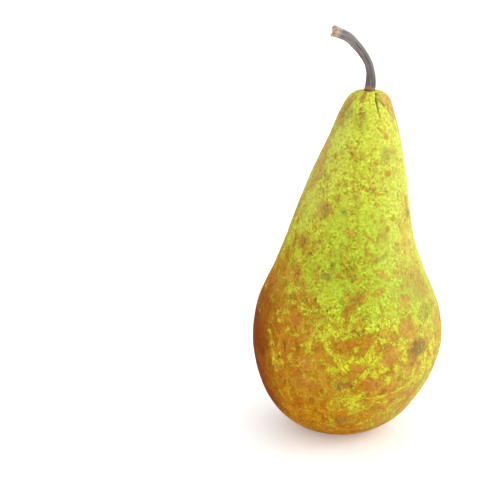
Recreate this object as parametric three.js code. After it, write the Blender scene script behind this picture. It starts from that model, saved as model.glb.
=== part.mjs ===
// A long-necked pear with its stem, standing upright on its calyx end.
// Millimetres, +Z up. The origin is at the level the fruit stands on,
// under the middle of its widest part.

import * as THREE from 'three';

// ---- fruit: driving dimensions ----

const BELLY_RADIUS = 32.4;
const BELLY_HEIGHT = 33;
const NECK_TOP = 117.5;
const FRONT_TO_BACK = 0.97; // depth of the fruit over its width
const NECK_LEAN = 5.2; // sideways shift of the neck's top
const NECK_LEAN_BACK = 1.5;
const NECK_LEAN_START = 60;
const FOOT_SHIFT = 2.2; // the flat spot lies this far to the other side

// radius and height, from the flat spot's outer edge up to the lip round the stem
const SIDE = [
  [10.5, 0],
  [15, 1.3],
  [20, 4.8],
  [24.5, 9.8],
  [28.3, 16.6],
  [31, 24],
  [BELLY_RADIUS, BELLY_HEIGHT],
  [30.4, 46.2],
  [25.2, 58.2],
  [21, 69.3],
  [16.8, 86.2],
  [13.3, 97.2],
  [9, 110.6],
  [5.8, 116.2],
  [2.4, NECK_TOP],
];
const RINGS_PER_STRETCH = 3;
const SIDES_ROUND_FRUIT = 48;

// the hollow that the calyx sits in, as radius and height, from its floor to its rim
const BASIN_DEPTH = 4.2;
const BASIN = [
  [4.2, BASIN_DEPTH],
  [5.6, 3.2],
  [6.4, 1.7],
  [6.8, 0],
];

const SOCKET_DEPTH = 2.2; // how far the stem goes into the flesh

// ---- stem: driving dimensions ----

const STEM_GAP = 0.4; // between the stem's foot and the socket's floor

// centreline as x, y and height above the neck's top
const STEM_ROUTE = [
  [5.4, 1.5, STEM_GAP - SOCKET_DEPTH],
  [5.9, 1.5, 2],
  [5.9, 1.6, 5.3],
  [4.8, 1.8, 9.2],
  [2.4, 2.2, 13],
  [-1.6, 2.7, 17.1],
  [-7.3, 3.2, 19.4],
];

// share of the stem's length and radius there
const STEM_THICKNESS = [
  [0, 1.6],
  [0.14, 1.65],
  [0.32, 1.3],
  [0.5, 1.3],
  [0.75, 1.5],
  [1, 1.7],
];
const STEM_STEPS = 24;
const SIDES_ROUND_STEM = 14;

// ---- calyx: driving dimensions ----

const SEPAL_COUNT = 5;
const SEPAL_LENGTH = 3.8;
const SEPAL_BASE_WIDTH = 1.7;
const SEPAL_WIDTH = 2.3;
const SEPAL_THICKNESS = 0.5;
const SEPAL_ROOT_RADIUS = 2.3;
const SEPAL_ROOT_HEIGHT = 3.3;
const SEPAL_DROOP = THREE.MathUtils.degToRad(38);

const STAMEN_RADIUS = 1.5;
const STAMEN_TIP_RADIUS = 0.9;
const STAMEN_TOP = 3.8;
const STAMEN_BOTTOM = 1.4;
const SIDES_ROUND_STAMENS = 16;

// ---- colours and finish ----

const SKIN = { color: 0xb9ab38, roughness: 0.45, metalness: 0 };
const BARK = { color: 0x6f6258, roughness: 0.8, metalness: 0 };
const DRIED = { color: 0x4a3524, roughness: 0.9, metalness: 0 };

// ---- helpers ----

const points2 = (pairs) => pairs.map(([x, y]) => new THREE.Vector2(x, y));

function piece(name, geometry, finish) {
  const mesh = new THREE.Mesh(geometry, new THREE.MeshStandardMaterial(finish));
  mesh.name = name;
  return mesh;
}

// calls change(vertex) on every vertex of a geometry
function moveVertices(geometry, change) {
  const position = geometry.attributes.position;
  const vertex = new THREE.Vector3();
  for (let i = 0; i < position.count; i += 1) {
    vertex.fromBufferAttribute(position, i);
    change(vertex);
    position.setXYZ(i, vertex.x, vertex.y, vertex.z);
  }
  return geometry;
}

// ---- fruit ----

// sideways place of the fruit's middle line at a height
function middleAt(height) {
  const neck = THREE.MathUtils.smoothstep(height, NECK_LEAN_START, NECK_TOP);
  const belly = THREE.MathUtils.smoothstep(height, 0, BELLY_HEIGHT);
  return { x: NECK_LEAN * neck - FOOT_SHIFT * (1 - belly), y: NECK_LEAN_BACK * neck };
}

function fruitProfile() {
  const side = new THREE.SplineCurve(points2(SIDE)).getPoints(RINGS_PER_STRETCH * (SIDE.length - 1));
  const [lipRadius] = SIDE[SIDE.length - 1];
  const floor = NECK_TOP - SOCKET_DEPTH;
  return [
    new THREE.Vector2(0, BASIN_DEPTH),
    ...points2(BASIN),
    ...side,
    new THREE.Vector2(lipRadius, floor),
    new THREE.Vector2(0, floor),
  ];
}

function fruit() {
  const geometry = new THREE.LatheGeometry(fruitProfile(), SIDES_ROUND_FRUIT);
  geometry.rotateX(Math.PI / 2);
  moveVertices(geometry, (vertex) => {
    const middle = middleAt(vertex.z);
    vertex.x += middle.x;
    vertex.y = vertex.y * FRONT_TO_BACK + middle.y;
  });
  return piece('fruit', geometry, SKIN);
}

// ---- stem ----

function stemRoute() {
  return new THREE.CatmullRomCurve3(
    STEM_ROUTE.map(([x, y, height]) => new THREE.Vector3(x, y, NECK_TOP + height)),
  );
}

// a straight round stem one unit long, standing along +Y
function straightStem() {
  const side = new THREE.SplineCurve(points2(STEM_THICKNESS)).getPoints(STEM_STEPS);
  const profile = side.map(({ x: share, y: radius }) => new THREE.Vector2(radius, share));
  return new THREE.LatheGeometry(
    [new THREE.Vector2(0, 0), ...profile, new THREE.Vector2(0, 1)],
    SIDES_ROUND_STEM,
  );
}

function stem() {
  const route = stemRoute();
  const geometry = moveVertices(straightStem(), (vertex) => {
    const along = route.getTangentAt(vertex.y);
    const across = along.clone().cross(new THREE.Vector3(0, 1, 0)).normalize();
    const behind = across.clone().cross(along);
    const centre = route.getPointAt(vertex.y);
    vertex.copy(centre.addScaledVector(across, vertex.x).addScaledVector(behind, vertex.z));
  });
  return piece('stem', geometry, BARK);
}

// ---- calyx ----

// a pointed leaf lying along +X from its root
function sepalOutline() {
  const outline = new THREE.Shape();
  outline.moveTo(0, -SEPAL_BASE_WIDTH / 2);
  outline.quadraticCurveTo(SEPAL_LENGTH * 0.5, -SEPAL_WIDTH * 0.65, SEPAL_LENGTH, 0);
  outline.quadraticCurveTo(SEPAL_LENGTH * 0.5, SEPAL_WIDTH * 0.65, 0, SEPAL_BASE_WIDTH / 2);
  return outline;
}

function sepal(number) {
  const geometry = new THREE.ExtrudeGeometry(sepalOutline(), {
    depth: SEPAL_THICKNESS,
    bevelEnabled: false,
    curveSegments: 6,
  });
  geometry.rotateY(SEPAL_DROOP);
  geometry.translate(SEPAL_ROOT_RADIUS, 0, SEPAL_ROOT_HEIGHT);
  const mesh = piece(`sepal_${number}`, geometry, DRIED);
  mesh.rotation.z = (number * 2 * Math.PI) / SEPAL_COUNT;
  return mesh;
}

function driedStamens() {
  const profile = [
    [0, STAMEN_BOTTOM],
    [STAMEN_TIP_RADIUS, STAMEN_BOTTOM],
    [STAMEN_RADIUS, STAMEN_TOP],
    [0, STAMEN_TOP],
  ];
  const geometry = new THREE.LatheGeometry(points2(profile), SIDES_ROUND_STAMENS);
  geometry.rotateX(Math.PI / 2);
  return piece('dried_stamens', geometry, DRIED);
}

function calyx() {
  const group = new THREE.Group();
  for (let number = 1; number <= SEPAL_COUNT; number += 1) {
    group.add(sepal(number));
  }
  group.add(driedStamens());
  group.position.x = -FOOT_SHIFT;
  return group;
}

// ---- the whole pear ----

const pear = new THREE.Group();
pear.add(fruit(), stem(), calyx());

export default pear;
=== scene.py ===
"""A long-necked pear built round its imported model: russeted skin, woody stem, dried calyx and a pale studio.

Lengths are metres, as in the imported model, unless a name ends in _MM. An angle round the fruit is in degrees
from its front, -Y, and grows towards +X.
"""

import math
from functools import partial

import bpy
import numpy as np
from mathutils import Matrix, Vector, noise


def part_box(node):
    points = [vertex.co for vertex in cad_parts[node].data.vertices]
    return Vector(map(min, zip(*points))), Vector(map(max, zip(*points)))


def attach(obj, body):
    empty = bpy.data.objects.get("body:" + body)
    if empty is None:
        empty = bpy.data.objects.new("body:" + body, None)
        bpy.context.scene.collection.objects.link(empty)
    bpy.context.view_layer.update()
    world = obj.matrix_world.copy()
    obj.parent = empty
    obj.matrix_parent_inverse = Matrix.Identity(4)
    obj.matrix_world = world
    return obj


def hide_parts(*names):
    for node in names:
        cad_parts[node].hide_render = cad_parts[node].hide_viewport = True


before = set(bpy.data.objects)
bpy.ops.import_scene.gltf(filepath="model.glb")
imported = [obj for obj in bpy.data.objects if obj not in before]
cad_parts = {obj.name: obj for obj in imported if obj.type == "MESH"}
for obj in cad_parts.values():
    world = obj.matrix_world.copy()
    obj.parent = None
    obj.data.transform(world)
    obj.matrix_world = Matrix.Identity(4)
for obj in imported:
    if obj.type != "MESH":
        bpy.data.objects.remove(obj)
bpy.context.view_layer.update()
FRUIT_LOW, FRUIT_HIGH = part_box("fruit")

bl_info = {
    "name": "Russet Pear",
    "version": (1, 0, 0),
    "blender": (4, 5, 0),
    "location": "3D Viewport > Sidebar > Pear",
    "description": "Builds a long-necked russet pear piece by piece",
    "category": "Add Mesh",
}

MM = 0.001
BODY = "root"
CURVE_STEPS = 24  # steps of a smooth curve from one row of a table to the next
SHORT_CURVE_STEPS = 12

# The Mix node's sockets share their names, so its colour sockets go by number.
MIX_FACTOR, MIX_A, MIX_B, MIX_RESULT = 0, 6, 7, 2

# ---- shape of the fruit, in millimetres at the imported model's size ----

BELLY_RADIUS_MM = 32.4
BELLY_HEIGHT_MM = 33
NECK_LEAN_START_MM = 60
NECK_TOP_MM = 117.5

# radius and height, from the middle of the calyx hollow, round the foot and up to the stem
PROFILE_MM = (
    (0, 4.0),
    (2.2, 4.1),
    (4.4, 3.7),
    (5.9, 2.4),
    (6.9, 0.8),
    (8.3, 0.05),
    (10.5, 0),
    (15, 1.3),
    (20, 4.8),
    (24.5, 9.8),
    (28.3, 16.6),
    (31, 24),
    (BELLY_RADIUS_MM, BELLY_HEIGHT_MM),
    (30.4, 46.2),
    (25.2, 58.2),
    (21, 69.3),
    (16.8, 86.2),
    (13.3, 97.2),
    (9, 110.6),
    (5.8, 116.2),
    (2.4, NECK_TOP_MM),
    (0, 117.2),
)
FOOT_STATION = 6  # the row of PROFILE_MM where the side starts

FRUIT_RINGS = 300
FRUIT_SIDES = 300
PLEATS = 10  # pleats round the calyx hollow

# Folds that run out from the stem, each a route of angle, height and depth.
FOLDS_MM = (
    ((35, 117.2, 0.7), (19, 115.5, 0.6), (20, 113.2, 0.45), (23, 110.2, 0.3), (25, 108.2, 0.0)),
    ((24, 115.9, 0.4), (37, 114.2, 0.36), (50, 111.7, 0.25), (53, 109.0, 0.0)),
    ((-20, 117.3, 0.4), (-24, 116.2, 0.3), (-28, 114.2, 0.0)),
    ((-46, 117.2, 0.3), (-50, 115.6, 0.3), (-54, 113.6, 0.0)),
    ((-70, 117.2, 0.4), (-66, 115.8, 0.3), (-64, 112.5, 0.0)),
    ((-125, 117.2, 0.6), (-132, 115.2, 0.5), (-128, 111.5, 0.0)),
    ((165, 117.2, 0.6), (158, 115.0, 0.6), (162, 110.8, 0.0)),
    ((105, 117.2, 0.5), (98, 115.4, 0.4), (102, 112.8, 0.0)),
)
FOLD_WIDTH_MM = 0.45

# Fleshy swellings between the folds, each as angle, height, half width and rise.
LOBES_MM = (
    (70, 115.2, 3.6, 0.5),
    (2, 114.6, 3.0, 0.2),
    (-95, 114.8, 3.6, 0.05),
    (-160, 114.8, 4.0, 0.3),
    (130, 114.8, 4.0, 0.3),
)

# ---- where russet grows ----

# height, and how readily russet forms there: at 0.5 it covers half of the skin
RUSSET_BY_HEIGHT_MM = (
    (0, 0.82),
    (12, 0.72),
    (22, 0.66),
    (32, 0.62),
    (42, 0.58),
    (48, 0.45),
    (55, 0.36),
    (64, 0.3),
    (80, 0.27),
    (96, 0.24),
    (104, 0.12),
    (NECK_TOP_MM, 0.08),
)

# height, and how far round to the left the close russet begins, from 0 at the front to 1 at the side
LEFT_EDGE_MM = (
    (0, -0.2),
    (12, -0.05),
    (30, 0.12),
    (40, 0.24),
    (48, 0.4),
    (56, 0.7),
    (64, 1.0),
    (78, 1.3),
)

# height, and how strong a band of more russet is down the left side's edge and down the right side
LEFT_BAND_MM = ((52, 1), (66, 0.2), (80, 0.4), (92, 2))
RIGHT_BAND_MM = ((14, -0.6), (30, 0.2), (46, 0.7), (60, 1.4), (84, 1.2), (100, 0.7))

# height, and how golden the left side is: between the close russet of the belly, and a little at the waist
GOLDEN_MM = ((42, 1), (60, 0.15), (68, 0.36), (84, 0.42), (98, 0))

# ---- how the pattern of russet is weighed ----

NOISE_MIDDLE = 0.5  # the value round which a noise swings
RUSSET_WEIGHT, ISLAND_WEIGHT, GRAIN_WEIGHT = 0.6, 0.8, 0.5

# ---- marks on the skin, each as angle, height, half width, half height and strength ----

RUSSET_PATCHES_MM = (
    (-23, 116.3, 1.1, 1.5, 0.75), (-14, 113.2, 1.4, 2.2, 0.14), (-52, 115.6, 1.6, 1.2, 0.4),
    (-66, 113.6, 2.1, 1.8, 0.6), (-70, 108.4, 2.4, 2.2, 0.65), (-71, 104.2, 2.1, 1.8, 0.6),
    (-74, 100, 2, 2.5, 0.5), (62, 114.6, 3.2, 2.6, 0.85), (72, 111.4, 2.0, 2.6, 0.65),
    (-17, 108.7, 2.7, 2.5, 0.1), (-26, 106.5, 1.8, 2.0, 0.1), (-30, 101.7, 0.9, 1.5, 0.3),
    (-11, 98.5, 2.7, 1.8, 0.12), (-1, 96, 1, 1.8, 0.12), (-26, 85.5, 1.6, 0.9, 0.25),
    (-42, 80.9, 1.6, 2.6, 0.6), (-36, 81.4, 1.7, 2.3, 0.35), (-20, 82.7, 0.9, 0.9, 0.2),
    (-27, 80, 1.5, 1.8, 0.1), (-32, 73.7, 1.3, 0.9, 0.3), (-20, 48.5, 4.5, 5.0, 0.14),
    (-56, 59.9, 5.4, 1.8, 0.2), (-12, 109.6, 1.7, 4.7, 0.3), (-60, 108.1, 1.8, 2.9, 0.3),
    (26, 74.6, 2.3, 3.3, 0.2), (-28, 51.4, 2.6, 1.8, 0.15), (-39, 54.1, 3.7, 2.2, 0.12),
    (-24, 54.1, 1.8, 1.8, 0.1), (24, 61.2, 2.3, 1.5, 0.25), (18, 56.2, 2.2, 1.1, 0.25),
    (38, 52.6, 2.7, 2.2, 0.3), (-54, 69.7, 4.1, 3.3, 0.35), (-66, 63.7, 3.5, 1.5, 0.25),
    (-52, 60.4, 4.5, 2.5, 0.3), (-22, 68.6, 1.4, 1.1, 0.15), (-6, 74.6, 2.7, 1.5, 0.12),
    (-40, 57.9, 1.7, 2.2, 0.25), (-5, 55.6, 1.3, 2.2, 0.3), (4, 55.3, 2.4, 1.5, 0.3),
    (-2, 52, 2.7, 2.2, 0.25), (14, 80, 1.2, 1.1, 0.2), (21, 83.5, 1.9, 0.9, 0.2),
    (26, 74.1, 2.3, 1.6, 0.35), (11, 70, 0.9, 2.2, 0.2), (29, 57.6, 1.6, 1.5, 0.15),
    (18, 56.5, 2.5, 0.9, 0.25), (37, 53.5, 2.2, 2.2, 0.12), (41, 61.9, 3.3, 3.3, 0.06),
    (56, 63.7, 3.4, 2.9, 0.05), (60, 57.5, 5.5, 5, 0.18), (-39, 70, 2.4, 2.2, 0.1),
    (-39, 49, 2.9, 3.3, 0.25), (-40, 44.6, 3.3, 2.5, 0.2), (-28, 43.6, 1.5, 2.5, 0.25),
    (-32, 41.2, 1.5, 1.8, 0.15), (-20, 39.1, 2.1, 2.9, 0.3), (-6, 48.7, 1.3, 3.6, 0.3),
    (-4, 40.8, 3, 1.5, 0.35), (9, 42.5, 2.1, 2.2, 0.4), (20, 43.9, 1.8, 2.2, 0.3),
    (14, 39.8, 1.4, 1.5, 0.25), (22, 37, 3.4, 2.9, 0.45), (35, 44.6, 3.5, 4.4, 0.4),
    (19, 51.7, 1.1, 1.1, 0.1), (-30, 33, 3.7, 2.9, 0.2), (2, 33, 2, 1.5, 0.3), (10, 26.5, 3.5, 3.3, 0.45),
    (23, 24.2, 3.4, 1.8, 0.35), (37, 21.6, 2.2, 1.5, 0.2), (-40, 38.4, 2.5, 2.9, 0.2),
    (-28, 25.6, 2.9, 2.9, 0.3), (-10, 22.8, 1, 1.1, 0.1), (32, 31.9, 3.3, 2.2, 0.15),
    (20, 16.6, 3.3, 1.1, 0.2), (38, 36.7, 2.3, 3.3, 0.2), (29, 42.2, 2.0, 1.8, 0.22),
    (33, 49.3, 2.1, 1.5, 0.15),
)

GREEN_PATCHES_MM = (
    (-48, 55, 2.6, 1.6, 0.25), (22, 44.9, 1.5, 1.8, 0.25), (14, 50.8, 1.8, 1.8, 0.3),
    (1, 49.3, 2, 1.8, 0.25), (47, 46.2, 2.7, 1.8, 0.2), (12, 40.8, 1.7, 2.2, 0.2),
    (-8, 20, 2.7, 2.9, 0.15), (40, 28.1, 1.9, 2.9, 0.45), (39, 23.4, 1.8, 1.8, 0.3),
    (48, 33, 2.2, 2.9, 0.4), (2, 19.8, 4.7, 3.6, 0.14), (24, 12.9, 4.2, 1.5, 0.15),
    (-76, 63.2, 4.2, 2.2, 0.15), (-46, 51.4, 1.8, 0.9, 0.4), (-34, 51.1, 1.9, 1.8, 0.3),
    (-16, 49.9, 1.7, 2.2, 0.25), (30, 39.4, 1.2, 2.9, 0.3), (58, 34.8, 2.9, 3.3, 0.35),
    (47, 40.5, 1.6, 1.5, 0.3), (-44, 52, 2.2, 1.1, 0.3), (-50, 48.1, 1.6, 1.0, 0.5),
    (-54, 47.1, 1.2, 1.2, 0.46), (-50, 44.9, 1.3, 0.8, 0.42), (-42, 42.9, 1.5, 1.1, 0.46),
    (-39, 41.8, 1.0, 0.9, 0.42), (-26, 38.7, 2, 2.2, 0.4), (-32, 39.1, 1.1, 0.7, 0.45),
    (-34, 42.2, 1.5, 1.5, 0.3), (1, 39.8, 1.3, 1.1, 0.3), (4, 52, 1.4, 1.3, 0.35),
    (9, 47, 4.5, 5.0, 0.14), (26, 47.5, 4.5, 5.0, 0.16), (16, 51.7, 2.5, 1.8, 0.3),
    (24, 53.2, 3, 2.2, 0.36), (24, 45.9, 2.3, 2.2, 0.3), (20, 47.8, 2.2, 1.6, 0.38),
    (10, 48.4, 2.1, 2.8, 0.4), (1, 45.6, 3, 2.2, 0.15), (12, 30.4, 1.6, 1.8, 0.4),
    (18, 32.2, 1.4, 1.5, 0.35), (26, 31.7, 1.6, 1.5, 0.3), (21, 27.9, 1.9, 1.8, 0.35),
    (-6, 33.9, 2, 2.2, 0.4), (-12, 31.9, 2, 2.5, 0.35), (2, 36, 3.4, 1.3, 0.3),
    (10, 36.7, 1.7, 2.5, 0.35), (2, 20.2, 3.7, 5.5, 0.3), (-8, 22.6, 2, 2.9, 0.15),
    (-9, 27.7, 2.7, 1.8, 0.12), (-18, 34.8, 1.4, 1.5, 0.25), (-36, 32.5, 1.2, 0.7, 0.35),
    (-49, 30.2, 2.0, 2.6, 0.38), (-20, 19.6, 1.7, 1.5, 0.25), (-24, 28.6, 3.2, 2.2, 0.2),
    (-14, 17.8, 1, 0.9, 0.2), (-11, 10.6, 2, 1.8, 0.3), (-6, 6.6, 1.3, 0.7, 0.2), (14, 7, 1.1, 0.7, 0.2),
    (30, 14.1, 2, 1.8, 0.25), (22, 13.1, 2.2, 1.1, 0.25), (18, 10.6, 1.4, 1.1, 0.2),
    (34, 18.4, 2.1, 1.5, 0.25), (58, 30, 2.9, 4.6, 0.35), (42, 26.7, 1.9, 3.3, 0.35),
    (50, 27.7, 2.3, 3.6, 0.2), (35, 49, 4.3, 2.4, 0.22), (52, 46, 6, 5.5, 0.22),
    (-67, 49.9, 2.9, 1.1, 0.4), (-16, 57.9, 2.1, 2.2, 0.25), (-32, 66.4, 2.3, 1.8, 0.25),
    (-40, 62.7, 2.1, 1.5, 0.25), (31, 64.5, 3.3, 2.2, 0.3), (10, 76.8, 2.8, 2.2, 0.25),
    (42, 80.9, 1.9, 6.6, 0.15), (-48, 34.2, 1.0, 0.8, 0.5), (-37, 37.4, 1.1, 0.7, 0.45),
    (-39, 34.8, 1.0, 0.8, 0.45), (-45, 31.4, 1.0, 1.8, 0.45), (-52, 31.4, 1.0, 1.5, 0.4),
    (-38, 33, 1.2, 0.8, 0.4), (-34, 31.7, 1.2, 0.8, 0.4), (-50, 27.3, 1.7, 0.8, 0.4),
    (-50, 19.4, 1.0, 0.7, 0.4), (-68, 25.4, 1.5, 0.9, 0.35), (-44, 42.5, 1.3, 0.7, 0.35),
    (-58, 40.1, 1.4, 0.7, 0.4), (-11, 11, 2.0, 1.1, 0.35),
)

SPOTS_MM = (
    (33, 92.7, 1.3, 1.1, 0.9), (-28, 89.3, 0.7, 0.6, 0.9), (-20, 89.6, 0.7, 0.6, 0.9),
    (-12, 90.7, 0.7, 0.7, 0.8), (-10, 88.7, 0.5, 0.5, 0.7), (-44, 91.2, 1, 0.9, 0.7),
    (-48, 89.6, 0.8, 0.7, 0.5), (-38, 93.7, 0.9, 0.6, 0.7), (-43, 93.2, 0.6, 0.5, 0.6),
    (-45, 97.8, 0.7, 0.9, 0.8), (-13, 102.4, 0.5, 0.7, 0.7), (-24, 86.2, 0.6, 0.6, 0.7),
    (-41, 88.1, 0.6, 0.5, 0.6), (15, 96.3, 0.9, 0.8, 0.7), (12, 100.6, 0.7, 0.5, 0.6),
    (33, 103.9, 1, 0.9, 0.9), (-12, 93.2, 0.5, 1.5, 0.5), (-3, 92.4, 0.7, 0.5, 0.5),
    (1, 83.9, 0.7, 0.7, 0.8), (-4, 83.1, 0.7, 0.7, 0.8), (14, 80, 0.7, 0.7, 0.8),
    (18, 78.2, 0.7, 0.6, 0.6), (25, 78.2, 1, 0.8, 0.6), (40, 78.2, 1.2, 0.9, 0.7),
    (32, 75.5, 0.8, 0.9, 0.7), (10, 69, 0.6, 1.1, 0.7), (10, 71.6, 0.7, 0.9, 0.6),
    (15, 68, 0.9, 0.4, 0.6), (9, 63.4, 0.6, 0.5, 0.5), (-53, 69.3, 2.6, 2.3, 0.75),
    (-40, 63.4, 0.5, 0.4, 0.5), (-45, 64, 0.7, 0.7, 0.5), (-12, 61.7, 0.8, 0.9, 0.8),
    (-8, 58.8, 1.1, 0.5, 0.6), (23, 88.4, 0.7, 0.6, 0.6), (5, 88.4, 0.6, 0.7, 0.6),
    (40, 87.8, 0.7, 0.5, 0.6), (-34, 25, 1.7, 2, 0.9), (-24, 25.4, 1.2, 1.3, 0.6), (2, 37, 1, 1.1, 0.7),
    (8, 11.2, 1, 1.6, 0.6), (25, 43.9, 0.5, 0.7, 0.8),
)

STAINS_MM = (
    (42, 36.4, 4.8, 3.3, 1.0), (57, 55.9, 5.6, 5.1, 0.35), (56, 47.5, 6.1, 2.5, 0.4),
    (-17, 64.2, 0.6, 1.8, 0.8), (-51, 70, 1.2, 1.5, 1.0), (-20, 60.6, 1.7, 1.5, 0.35),
    (-15, 80.9, 1.2, 1.3, 1.0), (-36, 81.4, 1.8, 2.4, 0.5), (31, 98.5, 1.8, 2.4, 0.55),
    (45, 98.5, 3.1, 2.5, 0.3), (-16, 109.5, 2.8, 3.2, 0.35), (-50, 110.4, 2.4, 3.3, 0.5),
    (26, 74.6, 2.3, 3.3, 0.3), (-7, 25.8, 2.3, 1.8, 0.55), (-2, 11.4, 2.7, 1.5, 0.55),
    (68, 77.8, 2.5, 1.5, 0.6), (68, 81.8, 1.3, 2.5, 0.4), (-22, 60.9, 1.8, 1.3, 0.5),
    (-18, 59.9, 1, 0.9, 0.4), (64, 48.7, 2.5, 1.5, 0.4), (54, 48.1, 3.8, 2.2, 0.3),
    (0, 12.4, 2.7, 1.1, 0.5), (22, 16.2, 1.5, 1.1, 0.4), (-37, 99.2, 1.2, 0.9, 0.4),
    (31, 72, 1.2, 2.2, 0.3),
)

# Where tiny dark specks lie, and where the pattern is rubbed into level streaks.
SPECKS_MM = ((53, 44.6, 6.0, 8.0, 1.0), (47, 60, 4.0, 7.0, 0.5))
STREAKS_MM = ((30, 20.5, 12.0, 4.5, 1.0), (8, 21.3, 4.0, 1.5, 1.0))

# Drawn-out marks: half width and strength, then a route of angle and height.
RUSSET_LINES_MM = (
    (1.3, 0.3, (6, 55.9), (2, 53.5), (-4, 51.7)),
    (1.6, 0.85, (46, 116.4), (56, 113.8), (60, 110.6)),
    (0.9, 0.55, (60, 110.6), (62, 105)),
    (1.0, 0.6, (78, 110), (80, 103), (80, 96)),
    (1.5, 0.5, (-74, 98.8), (-71, 96), (-65, 92.9)),
    (1.2, 0.35, (-62, 89.9), (-67, 86.5)),
    (0.7, 0.3, (20, 62.9), (26, 61.2), (27, 59.6)),
    (0.5, 0.25, (7, 75.9), (10, 73.7), (16, 72.4)),
)

GREEN_LINES_MM = (
    (0.6, 0.42, (-58, 40.1), (-56, 39.0), (-55, 37.4), (-52, 36.4)),
    (0.7, 0.35, (-35, 52.9), (-36, 50.5), (-33, 49.3), (-28, 50.2)),
    (1, 0.4, (-24, 54.1), (-20, 52.3), (-16, 50.5), (-14, 46.8)),
    (0.8, 0.3, (-28, 51.7), (-22, 50.8), (-26, 48.7), (-30, 46.5), (-30, 44.2)),
    (1.5, 0.4, (-21, 47.5), (-24, 44.2), (-20, 41.5)),
    (1.3, 0.45, (-16, 45.9), (-16, 42.9), (-16, 40.1), (-12, 38), (-8, 35.4), (-5, 33)),
    (1.2, 0.4, (-11, 51.1), (-8, 48.4), (-8, 45.2), (-12, 43.2), (-4, 43.2)),
    (1, 0.3, (-22, 55.3), (-14, 54.7), (-10, 52.6)),
    (0.8, 0.3, (4, 44.2), (-3, 43.9), (-6, 44.9)),
    (0.8, 0.35, (16, 45.9), (14, 43.6), (18, 41.5), (18, 38.7), (16, 37.4)),
    (0.9, 0.4, (30, 41.2), (32, 37.7), (32, 33.6)),
    (0.7, 0.25, (22, 40.8), (26, 39.4)),
    (1.2, 0.4, (8, 32.2), (4, 29.9), (2, 27.5)),
    (0.8, 0.42, (-56, 36.7), (-53, 35.8), (-53, 34.2), (-50, 33.0), (-51, 31.7)),
    (0.7, 0.35, (-30, 28.6), (-24, 30.7)),
    (0.7, 0.2, (-19, 27.7), (-16, 24), (-18, 20.7)),
    (0.25, 0.22, (6, 22.2), (12, 21.1), (19, 21.8), (25, 21.6), (32, 22.8), (38, 23.8)),
    (0.25, 0.2, (14, 19.6), (23, 18.5), (28, 19.3)),
    (0.25, 0.2, (32, 16.4), (37, 18.2), (46, 18)),
    (0.3, 0.25, (26, 29), (32, 30.2)),
    (0.4, 0.3, (6, 21.3), (19, 21.3), (32, 23.2), (39, 23.4)),
    (0.3, 0.3, (28, 15.2), (38, 17.8), (40, 19.8)),
)

SPOT_LINES_MM = (
    (0.4, 0.7, (16, 107.1), (25, 106), (31, 104.6)),
    (0.4, 0.6, (9, 94.2), (17, 93.7)),
    (0.3, 0.4, (18, 93.2), (23, 90.9), (22, 89.3)),
    (0.4, 0.7, (12, 87.8), (20, 86.5), (28, 86.5)),
    (0.4, 0.5, (7, 91.9), (8, 89.9), (11, 87.2)),
    (0.4, 0.6, (7, 75.5), (10, 73.7), (16, 72.4)),
    (0.3, 0.7, (0, 45.9), (2, 44.6), (4, 43.6)),
    (0.3, 0.5, (-3, 44.9), (-2, 43.6)),
)

STAIN_LINES_MM = (
    (0.8, 0.35, (-18, 65.6), (-16, 62.7)),
    (0.9, 0.4, (18, 65.9), (24, 66.7), (28, 67), (32, 68.6)),
    (1.1, 0.45, (-10, 25.6), (-6, 26.7), (-2, 27.9)),
    (0.4, 0.4, (-23, 58.5), (-24, 56.5)),
    (1, 0.35, (6, 55.9), (2, 53.5), (-4, 51.7)),
)

# Nicks and scratches thinner than the mesh is fine, each as half width and a route of angle and height.
NICKS_MM = (
    (0.26, (-44, 39.6), (-43, 35.0)),
    (0.14, (0, 45.9), (2, 44.6), (4, 43.6)),
)
SCRATCHES_MM = (
    (0.16, (6, 22.2), (12, 21.1), (19, 21.8), (25, 21.6), (32, 22.8), (38, 23.8)),
    (0.14, (14, 19.6), (19, 19.0), (24, 18.5)),
    (0.14, (32, 16.4), (37, 18.2), (43, 18.1)),
)

# ---- stem, in millimetres ----

# centreline as x, y and height above the neck's top
STEM_ROUTE_MM = (
    (5.4, 1.5, -1.8),
    (5.9, 1.5, 2),
    (5.9, 1.6, 5.3),
    (4.8, 1.8, 9.2),
    (2.4, 2.2, 13),
    (-1.6, 2.7, 17.1),
    (-6.7, 2.5, 19.3),
)

# share of the stem's length and radius there
STEM_THICKNESS_MM = ((0, 1.6), (0.14, 1.65), (0.32, 1.3), (0.5, 1.3), (0.75, 1.5), (1, 1.7))
STEM_RINGS = 220
STEM_SIDES = 64
END_RINGS = 8  # rings of the broken face
TORN_LENGTH_MM = 2.4  # how much of the stem's end is torn


# ---- helpers ----


def srgb(code):
    """The linear colour of an sRGB hex value."""
    parts = [int(code[i : i + 2], 16) / 255 for i in (0, 2, 4)]
    return (*(p / 12.92 if p <= 0.04045 else ((p + 0.055) / 1.055) ** 2.4 for p in parts), 1.0)


def smoothstep(value, low, high):
    """From 0 where a value is low to 1 where it is high, with soft ends."""
    share = np.clip((value - low) / (high - low), 0, 1)
    return share * share * (3 - 2 * share)


def spline(points, steps):
    """Catmull-Rom curve through points, with so many steps on each stretch."""
    points = np.asarray(points, float)
    last = len(points) - 1
    t = np.linspace(0, 1, steps, endpoint=False)[:, None]
    curve = []
    for i in range(last):
        a, b, c, d = (points[min(max(i + k, 0), last)] for k in (-1, 0, 1, 2))
        curve.append(
            0.5 * (2 * b + (c - a) * t + (2 * a - 5 * b + 4 * c - d) * t**2 + (3 * b - a - 3 * c + d) * t**3)
        )
    return np.vstack([*curve, points[-1:]])


def evenly(curve, count):
    """count points at even distances along a curve."""
    lengths = np.r_[0, np.cumsum(np.linalg.norm(np.diff(curve, axis=0), axis=1))]
    places = np.linspace(0, lengths[-1], count)
    return np.stack([np.interp(places, lengths, column) for column in curve.T], axis=1)


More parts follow.
